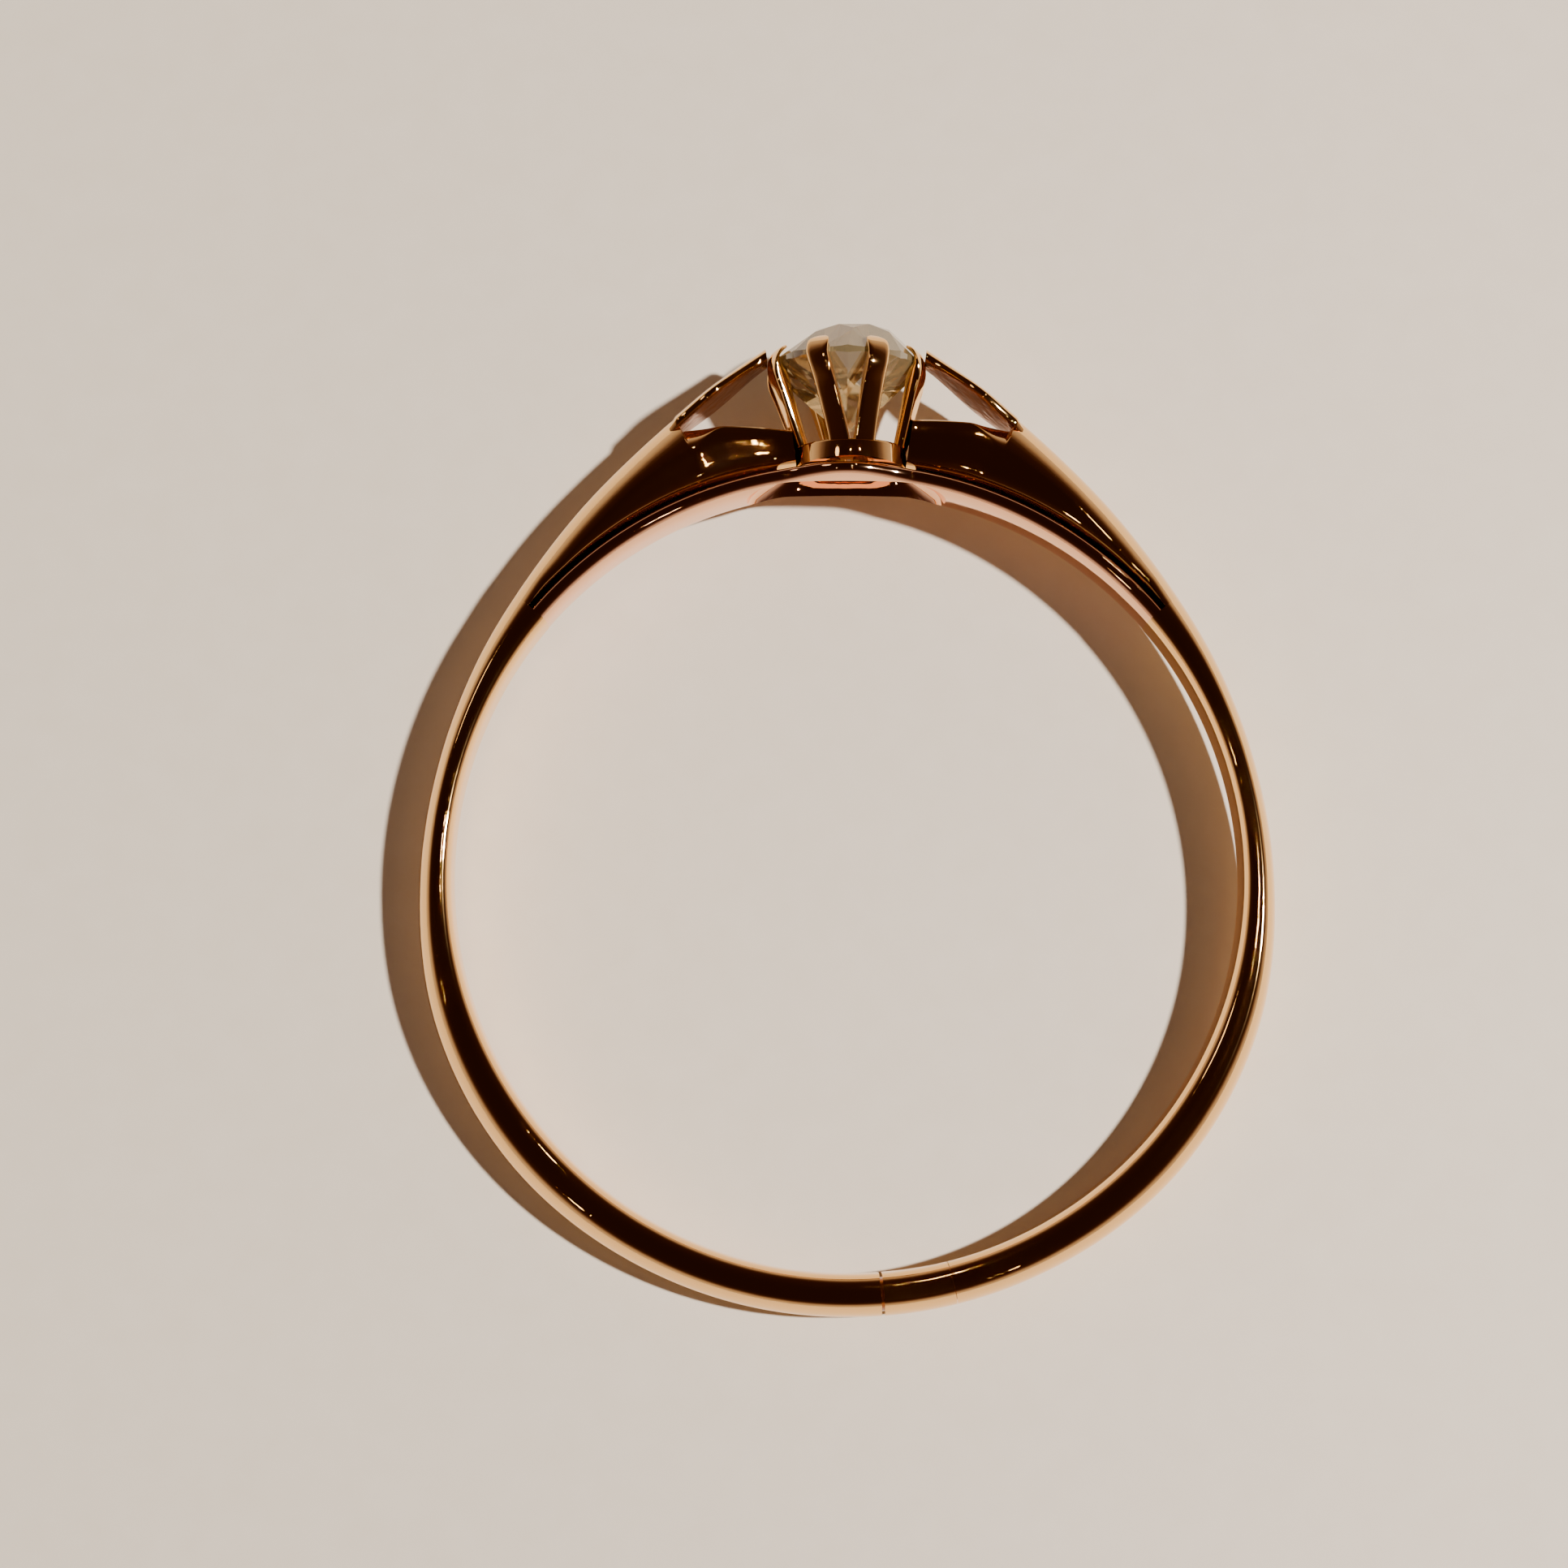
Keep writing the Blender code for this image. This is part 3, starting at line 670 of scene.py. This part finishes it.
def diamond(stone):
    """Old-cut brilliant, ground facet by facet from a round blank."""
    bm = bmesh.new()
    bmesh.ops.create_cone(
        bm, cap_ends=True, segments=160, radius1=GIRDLE_RADIUS, radius2=GIRDLE_RADIUS, depth=4.0
    )
    bmesh.ops.rotate(bm, verts=bm.verts, matrix=Matrix.Rotation(math.pi / 2, 3, "X"))
    bmesh.ops.translate(bm, verts=bm.verts, vec=(0, GIRDLE_TOP, 0))

    def grind(steepness, azimuth, reach, height):
        """Removes all that stands outside one facet's plane."""
        a, t = math.radians(azimuth), math.radians(steepness)
        flat = abs(math.sin(t))
        normal = Vector((flat * math.cos(a), math.cos(t), flat * math.sin(a)))
        point = Vector((reach * math.cos(a), height, reach * math.sin(a)))
        cut_at = bmesh.ops.bisect_plane(
            bm,
            geom=bm.verts[:] + bm.edges[:] + bm.faces[:],
            dist=1e-7,
            plane_co=point,
            plane_no=normal,
            clear_outer=True,
        )
        edges = [item for item in cut_at["geom_cut"] if isinstance(item, bmesh.types.BMEdge)]
        if edges:
            bmesh.ops.contextual_create(bm, geom=edges)

    bezel = math.degrees(math.atan(CROWN_HEIGHT / (GIRDLE_RADIUS - TABLE_RADIUS)))
    main = math.degrees(math.atan(PAVILION_DEPTH / (GIRDLE_RADIUS - CULET_RADIUS)))
    grind(0, 0, 0, TABLE_HEIGHT)
    grind(180, 0, 0, GIRDLE_BOTTOM - PAVILION_DEPTH)
    for k in range(8):
        azimuth = 45 * (k + 0.5)
        grind(bezel, azimuth, GIRDLE_RADIUS, GIRDLE_TOP + 0.02)
        grind(180 - main, azimuth, GIRDLE_RADIUS, GIRDLE_BOTTOM - 0.02)
    for k in range(16):
        azimuth = 22.5 * k + 11.25
        grind(bezel + CROWN_HALVES_STEEPER, azimuth, GIRDLE_RADIUS, GIRDLE_TOP)
        grind(180 - main - PAVILION_HALVES_STEEPER, azimuth, GIRDLE_RADIUS, GIRDLE_BOTTOM)
    for k in range(8):
        azimuth = 45 * k
        grind(bezel - STARS_FLATTER, azimuth, TABLE_RADIUS, TABLE_HEIGHT - 0.02)
    for vert in bm.verts:
        rise = max(0.0, vert.co.y - GIRDLE_TOP) / CROWN_HEIGHT
        vert.co.x += TABLE_OFFSET * rise
    bmesh.ops.recalc_face_normals(bm, faces=bm.faces)
    mesh = bpy.data.meshes.new("diamond")
    bm.to_mesh(mesh)
    bm.free()
    mesh.materials.append(stone)
    mesh.shade_flat()
    return linked("old_cut_diamond", mesh)


# ---------------------------------------------------------------- finishes


def fresh(name):
    """New material with only its output node."""
    made = bpy.data.materials.new(name)
    made.use_nodes = True
    made.node_tree.nodes.clear()
    return made, made.node_tree


def gold(name, colour, roughness, waviness):
    """Cast gold, filed and buffed by hand: a near mirror with soft waves and hairline scratches."""
    made, tree = fresh(name)
    where = add(tree, "ShaderNodeTexCoord").outputs["Object"]
    per_metre = 1 / MM
    wave = add(tree, "ShaderNodeTexNoise", {"Vector": where, "Scale": 0.9 * per_metre, "Detail": 1.5})
    turned = add(
        tree,
        "ShaderNodeMapping",
        {"Vector": where, "Rotation": (0.4, 0.9, 0.3), "Scale": (1.0, 14.0, 14.0)},
    )
    hair = add(
        tree,
        "ShaderNodeTexNoise",
        {"Vector": turned.outputs["Vector"], "Scale": 1.6 * per_metre, "Detail": 3.0},
    )
    smudge = add(tree, "ShaderNodeTexNoise", {"Vector": where, "Scale": 0.35 * per_metre, "Detail": 2.0})
    dulled = add(
        tree,
        "ShaderNodeMapRange",
        {
            "Value": smudge.outputs["Fac"],
            "From Min": 0.3,
            "From Max": 0.7,
            "To Min": roughness * 0.7,
            "To Max": roughness * 1.5,
        },
    )
    soft = add(
        tree,
        "ShaderNodeBump",
        {"Height": wave.outputs["Fac"], "Strength": waviness, "Distance": 0.02 * MM},
    )
    ripple = add(tree, "ShaderNodeTexNoise", {"Vector": where, "Scale": 3.2 * per_metre, "Detail": 1.0})
    rippled = add(
        tree,
        "ShaderNodeBump",
        {
            "Height": ripple.outputs["Fac"],
            "Strength": waviness,
            "Distance": 0.008 * MM,
            "Normal": soft.outputs["Normal"],
        },
    )
    fine = add(
        tree,
        "ShaderNodeBump",
        {
            "Height": hair.outputs["Fac"],
            "Strength": 0.12,
            "Distance": 0.002 * MM,
            "Normal": rippled.outputs["Normal"],
        },
    )
    shader = add(
        tree,
        "ShaderNodeBsdfPrincipled",
        {
            "Base Color": linear(colour),
            "Metallic": 1.0,
            "Roughness": dulled.outputs["Result"],
            "Normal": fine.outputs["Normal"],
        },
    )
    add(tree, "ShaderNodeOutputMaterial", {"Surface": shader.outputs["BSDF"]})
    return made


def painted_shade_and_solder(name):
    """Dark gold: painted shade on the undersides of the bridges and on the inner wall of the coronet base,
    and the dark solder in the seams.
    """
    made, tree = fresh(name)
    where = add(tree, "ShaderNodeTexCoord").outputs["Object"]
    shade_mottle = add(tree, "ShaderNodeTexNoise", {"Vector": where, "Scale": 2.2 / MM, "Detail": 5.0})
    grain = add(tree, "ShaderNodeTexNoise", {"Vector": where, "Scale": 5.0 / MM, "Detail": 2.0})
    # Two dark browns mixed by noise: the colour of the painted shade and of the seam solder
    tone = add(
        tree,
        "ShaderNodeMix",
        {
            "Factor": shade_mottle.outputs["Fac"],
            "A": linear("#4A1F08"),
            "B": linear("#B4692A"),
        },
        data_type="RGBA",
    )
    rough = add(
        tree,
        "ShaderNodeBump",
        {"Height": grain.outputs["Fac"], "Strength": 0.8, "Distance": 0.02 * MM},
    )
    shader = add(
        tree,
        "ShaderNodeBsdfPrincipled",
        {
            "Base Color": tone.outputs["Result"],
            "Metallic": 0.9,
            "Roughness": 0.18,
            "Normal": rough.outputs["Normal"],
        },
    )
    add(tree, "ShaderNodeOutputMaterial", {"Surface": shader.outputs["BSDF"]})
    return made


def diamond_material():
    """Diamond, faceted and polished: clear, with a very strong bend of light."""
    made, tree = fresh("diamond, old cut, polished")
    shader = add(
        tree,
        "ShaderNodeBsdfPrincipled",
        {
            "Base Color": linear("#D6C193"),
            "Roughness": 0.03,
            "IOR": 2.417,
            "Transmission Weight": 0.8,
        },
    )
    add(tree, "ShaderNodeOutputMaterial", {"Surface": shader.outputs["BSDF"]})
    return made


def table_material():
    """Matt painted board: pale, slightly pink, with a faint speckle."""
    made, tree = fresh("painted board, pale matt")
    where = add(tree, "ShaderNodeTexCoord").outputs["Object"]
    speckle = add(tree, "ShaderNodeTexNoise", {"Vector": where, "Scale": 1.2 / MM, "Detail": 4.0})
    tone = add(
        tree,
        "ShaderNodeMix",
        {
            "Factor": speckle.outputs["Fac"],
            "A": linear("#E3D9CC"),
            "B": linear("#EAE2D7"),
        },
        data_type="RGBA",
    )
    shader = add(
        tree,
        "ShaderNodeBsdfPrincipled",
        {"Base Color": tone.outputs["Result"], "Roughness": 0.55},
    )
    add(tree, "ShaderNodeOutputMaterial", {"Surface": shader.outputs["BSDF"]})
    return made


# ---------------------------------------------------------------- stage


def lying(record):
    """Matrix from the ring's own plane, in millimetres, to the table."""
    mount = next(m for m in record["mounts"] if m["name"] == "side_face_up")
    finger = Vector(mount["axis"])
    turn = Matrix.Rotation(math.atan2(-finger.y, finger.z), 4, "X")
    a = math.radians(MOUNT_ANGLE)
    reach = HOLE_RADIUS + MOUNT_ABOVE_FINGER
    known = Vector((reach * math.sin(a), reach * math.cos(a), SHANK_WIDTH / 2))
    place = Vector(mount["pos_m"]) - (turn @ known) * MM
    return Matrix.Translation(place) @ turn @ Matrix.Scale(MM, 4)


def stage_floor(material):
    """Large table top, with a fine grid so that it isn't one bare face."""
    bm = bmesh.new()
    bmesh.ops.create_grid(bm, x_segments=8, y_segments=8, size=0.6)
    mesh = bpy.data.meshes.new("table top")
    bm.to_mesh(mesh)
    bm.free()
    mesh.materials.append(material)
    floor = linked("table top", mesh)
    return floor


def stage_light(laid):
    """Bright room with a dark ceiling over the ring, one small lamp on the right and a few others."""
    world = bpy.data.worlds.new("bright room under a dark ceiling")
    bpy.context.scene.world = world
    world.use_nodes = True
    tree = world.node_tree
    tree.nodes.clear()
    where = add(tree, "ShaderNodeTexCoord").outputs["Generated"]
    height = add(tree, "ShaderNodeSeparateXYZ", {"Vector": where}).outputs["Z"]
    ramp = add(tree, "ShaderNodeValToRGB", {"Fac": height})
    band = ramp.color_ramp
    band.elements[0].position = 0.0
    band.elements[0].color = (0.74, 0.60, 0.51, 1)
    band.elements[1].position = 1.0
    band.elements[1].color = (0.016, 0.0045, 0.0018, 1)
    for place, red, green, blue in (
        (0.28, 0.43, 0.32, 0.27),
        (0.42, 0.19, 0.12, 0.10),
        (0.56, 0.06, 0.025, 0.014),
        (0.70, 0.030, 0.009, 0.003),
    ):
        band.elements.new(place).color = (red, green, blue, 1)
    back = add(tree, "ShaderNodeBackground", {"Color": ramp.outputs["Color"], "Strength": 1.0})
    add(tree, "ShaderNodeOutputWorld", {"Surface": back.outputs["Background"]})
    middle = laid @ Vector((0, 0, 0))
    for name, azimuth, elevation, size, power, colour in (
        ("key lamp", 0, 57, 0.020, 3.1, "#FFF4E6"),
        ("window far left", 150, 58, 0.050, 0.02, "#FFE2C8"),
        ("ceiling lamp 1", 10, 80, 0.003, 0.008, "#FFDCB8"),
        ("ceiling lamp 2", 95, 74, 0.003, 0.008, "#FFDCB8"),
        ("ceiling lamp 3", 190, 74, 0.003, 0.008, "#FFDCB8"),
        ("ceiling lamp 4", 300, 70, 0.006, 0.010, "#FFDCB8"),
        ("ceiling lamp 5", 45, 66, 0.006, 0.010, "#FFDCB8"),
        ("ceiling lamp 6", 230, 64, 0.006, 0.010, "#FFDCB8"),
    ):
        a, e = math.radians(azimuth), math.radians(elevation)
        out = Vector((math.cos(a) * math.cos(e), math.sin(a) * math.cos(e), math.sin(e)))
        data = bpy.data.lights.new(name, "AREA")
        data.shape = "DISK"
        data.size = size
        data.energy = power
        data.color = linear(colour)[:3]
        lamp = bpy.data.objects.new(name, data)
        bpy.context.scene.collection.objects.link(lamp)
        lamp.location = middle + out * LAMP_DISTANCE
        lamp.rotation_euler = out.to_track_quat("Z", "Y").to_euler()


def stage_camera(laid):
    place, aim = laid @ Vector(CAMERA_PLACE), laid @ Vector(CAMERA_AIM)
    back = (place - aim).normalized()
    right = (laid.to_3x3() @ Vector((0, 1, 0))).cross(back).normalized()
    up = back.cross(right)
    data = bpy.data.cameras.new("camera")
    data.lens = CAMERA_LENS
    data.sensor_width = SENSOR
    data.clip_start = 0.002
    camera = bpy.data.objects.new("camera", data)
    camera.matrix_world = Matrix.Translation(place) @ Matrix((right, up, back)).transposed().to_4x4()
    bpy.context.scene.collection.objects.link(camera)
    bpy.context.scene.camera = camera


# ---------------------------------------------------------------- the whole ring


def main():
    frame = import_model()
    laid = lying(frame["record"])

    yellow = gold("18 carat yellow gold, cast and polished", "#FFCE88", 0.04, 0.3)
    filed = gold("18 carat yellow gold, filed and buffed", "#FFCD86", 0.06, 0.4)
    rose = gold("18 carat rose gold, rolled and polished", "#FFC8A0", 0.04, 0.3)
    # Dark gold: painted shade under the bridges and inside the coronet base, and the solder in the seams
    shade_and_solder_gold = painted_shade_and_solder("gold painted dark as shade, and solder in the seams")
    clear = diamond_material()

    sweep = sweep_tree()
    gap = math.degrees(SEAM_GAP / 2 / HOLE_RADIUS)
    pieces = []

    def keep(obj, slot, *nodes):
        pieces.append((obj, slot, nodes))

    keep(
        swept(sweep, "shank_right_half", shank_station, FORK, SEAMS[0] - gap / 4, yellow),
        "yellow_gold",
        "shank_right",
    )
    keep(
        swept(sweep, "sizing_insert_piece", shank_station, SEAMS[0] + gap / 4, SEAMS[1] - gap, filed),
        "insert_gold",
        "sizing_insert",
    )
    keep(
        swept(sweep, "shank_left_half", shank_station, SEAMS[1] + gap, 360 - FORK, yellow),
        "yellow_gold",
        "shank_left",
    )
    for name, seam in zip(("nick", "crack"), SEAMS):
        ends = seam - 2 * gap, seam + 2 * gap
        solder = swept(sweep, f"solder_in_the_{name}", solder_station, *ends, shade_and_solder_gold, step=0.2)
        keep(solder, "insert_gold", "sizing_insert")
    rail = swept(sweep, "rail_under_the_head", rail_station, -FORK, FORK, rose, dome=2.4, corner=3.0)
    keep(cut(rail, light_slot(rose)), "rose_gold", "finger_rail")
    for name, side in (("left", -1), ("right", 1)):
        reach = CORONET_FOOT + side * CORONET_LEAN - ARM_BITE
        foot = math.degrees(math.asin(reach / RAIL_RADIUS))
        arm = swept(sweep, f"shoulder_arm_{name}", arm_station, side * FORK, side * foot, yellow, 0.15)
        keep(arm, "yellow_gold", f"lower_arm_{name}")
        ends = side * (WINDOW + BRIDGE_ROOT), side * bridge_tip()
        bridge = swept(
            sweep, f"bridge_over_window_{name}", bridge_station, *ends, yellow, 0.3, corner=7.0
        )
        # The under sides of the bridges get the dark gold as painted shade
        keep(painted_shade_inside(bridge, shade_and_solder_gold, towards_finger), "yellow_gold", f"shoulder_bridge_{name}")
    # The inner wall of the coronet base gets the dark gold as painted shade
    seat = painted_shade_inside(coronet_base(yellow), shade_and_solder_gold, towards_slot)
    keep(seat, "yellow_gold", "coronet_base")
    claws = grown(
        one_claw(yellow),
        claw_tree(),
        {
            "Foot Height": CORONET_TOP,
            "Girdle Height": GIRDLE_BOTTOM,
            "Foot Angle": math.radians(CLAW_FOOT_ANGLE),
            "Lean": CORONET_LEAN,
            "Count": CLAWS,
            "Metal": yellow,
        },
    )
    claws.name = "coronet_claws"
    keep(outward(claws), "yellow_gold", *[f"claw_{i + 1}" for i in range(CLAWS)])
    keep(diamond(clear), "diamond", "diamond")

    for obj, slot, nodes in pieces:
        obj.data.transform(laid)
        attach(obj, "root")
        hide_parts(*nodes)

    stage_floor(table_material())
    stage_light(laid)
    stage_camera(laid)
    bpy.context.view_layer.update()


main()
